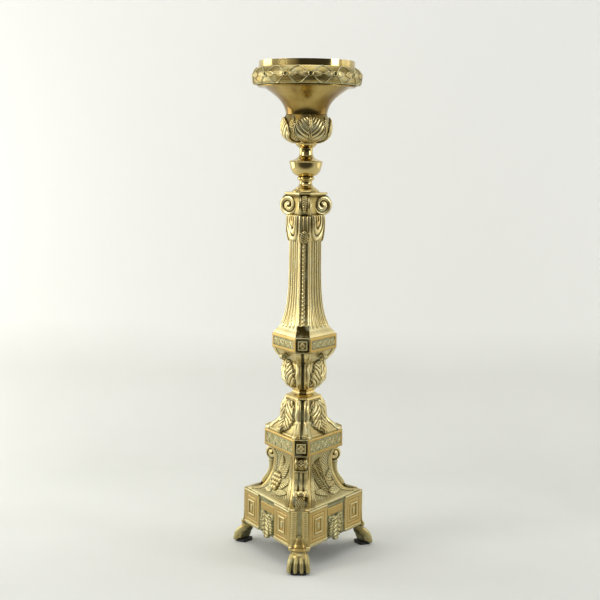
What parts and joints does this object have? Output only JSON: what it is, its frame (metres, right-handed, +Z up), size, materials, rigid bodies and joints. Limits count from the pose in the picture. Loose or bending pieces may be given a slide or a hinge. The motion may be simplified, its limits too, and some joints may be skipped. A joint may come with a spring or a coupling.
{
  "type": "altar candlestick",
  "caption": "Tall three-sided brass altar candlestick on paw feet, with a fluted shaft, scrolled capital and a round drip pan that lifts off over its pricket.",
  "frame": {"origin": "on the floor, on the axis of the stem and tie rod", "axes": "+Z up the stem; one corner of the three-sided base points along -Y"},
  "size_m": [0.2094, 0.1907, 0.7],
  "materials": {
    "aged_brass": "aged, with dark recesses",
    "polished_brass": "worn polish",
    "iron": "dull",
    "steel": "dull",
    "pad": "matte"
  },
  "bodies": {
    "stand": {"gallery_band": "aged_brass", "leaf_bulb": "aged_brass", "capital": "aged_brass", "shaft": "aged_brass", "upper_band": "aged_brass", "leaf_vase": "aged_brass", "leaf_dome": "aged_brass", "lower_band": "aged_brass", "base_body": "aged_brass", "plinth": "aged_brass", "bracket_front": "aged_brass", "bracket_right": "aged_brass", "bracket_left": "aged_brass", "foot_front": "aged_brass", "foot_right": "aged_brass", "foot_left": "aged_brass", "relief_right": "aged_brass", "relief_back": "aged_brass", "relief_left": "aged_brass", "pendant_right": "aged_brass", "pendant_back": "aged_brass", "pendant_left": "aged_brass", "bell_cup": "polished_brass", "upper_neck": "polished_brass", "vase_knop": "polished_brass", "lower_neck": "polished_brass", "waist_moulding": "polished_brass", "base_bridge": "iron", "tie_rod": "iron", "pricket": "iron", "base_nut": "steel", "base_washer": "steel", "pricket_washer": "steel", "bridge_screws": "steel", "foot_screws": "steel", "bracket_screws": "steel", "foot_pad_front": "pad", "foot_pad_right": "pad", "foot_pad_left": "pad"},
    "pan": {"drip_pan": "polished_brass"}
  },
  "joints": [
    {"name": "pan_lift", "type": "slide", "parent": "stand", "child": "pan", "axis": [0, 0, 1], "range_m": [0, 0.06]}
  ]
}
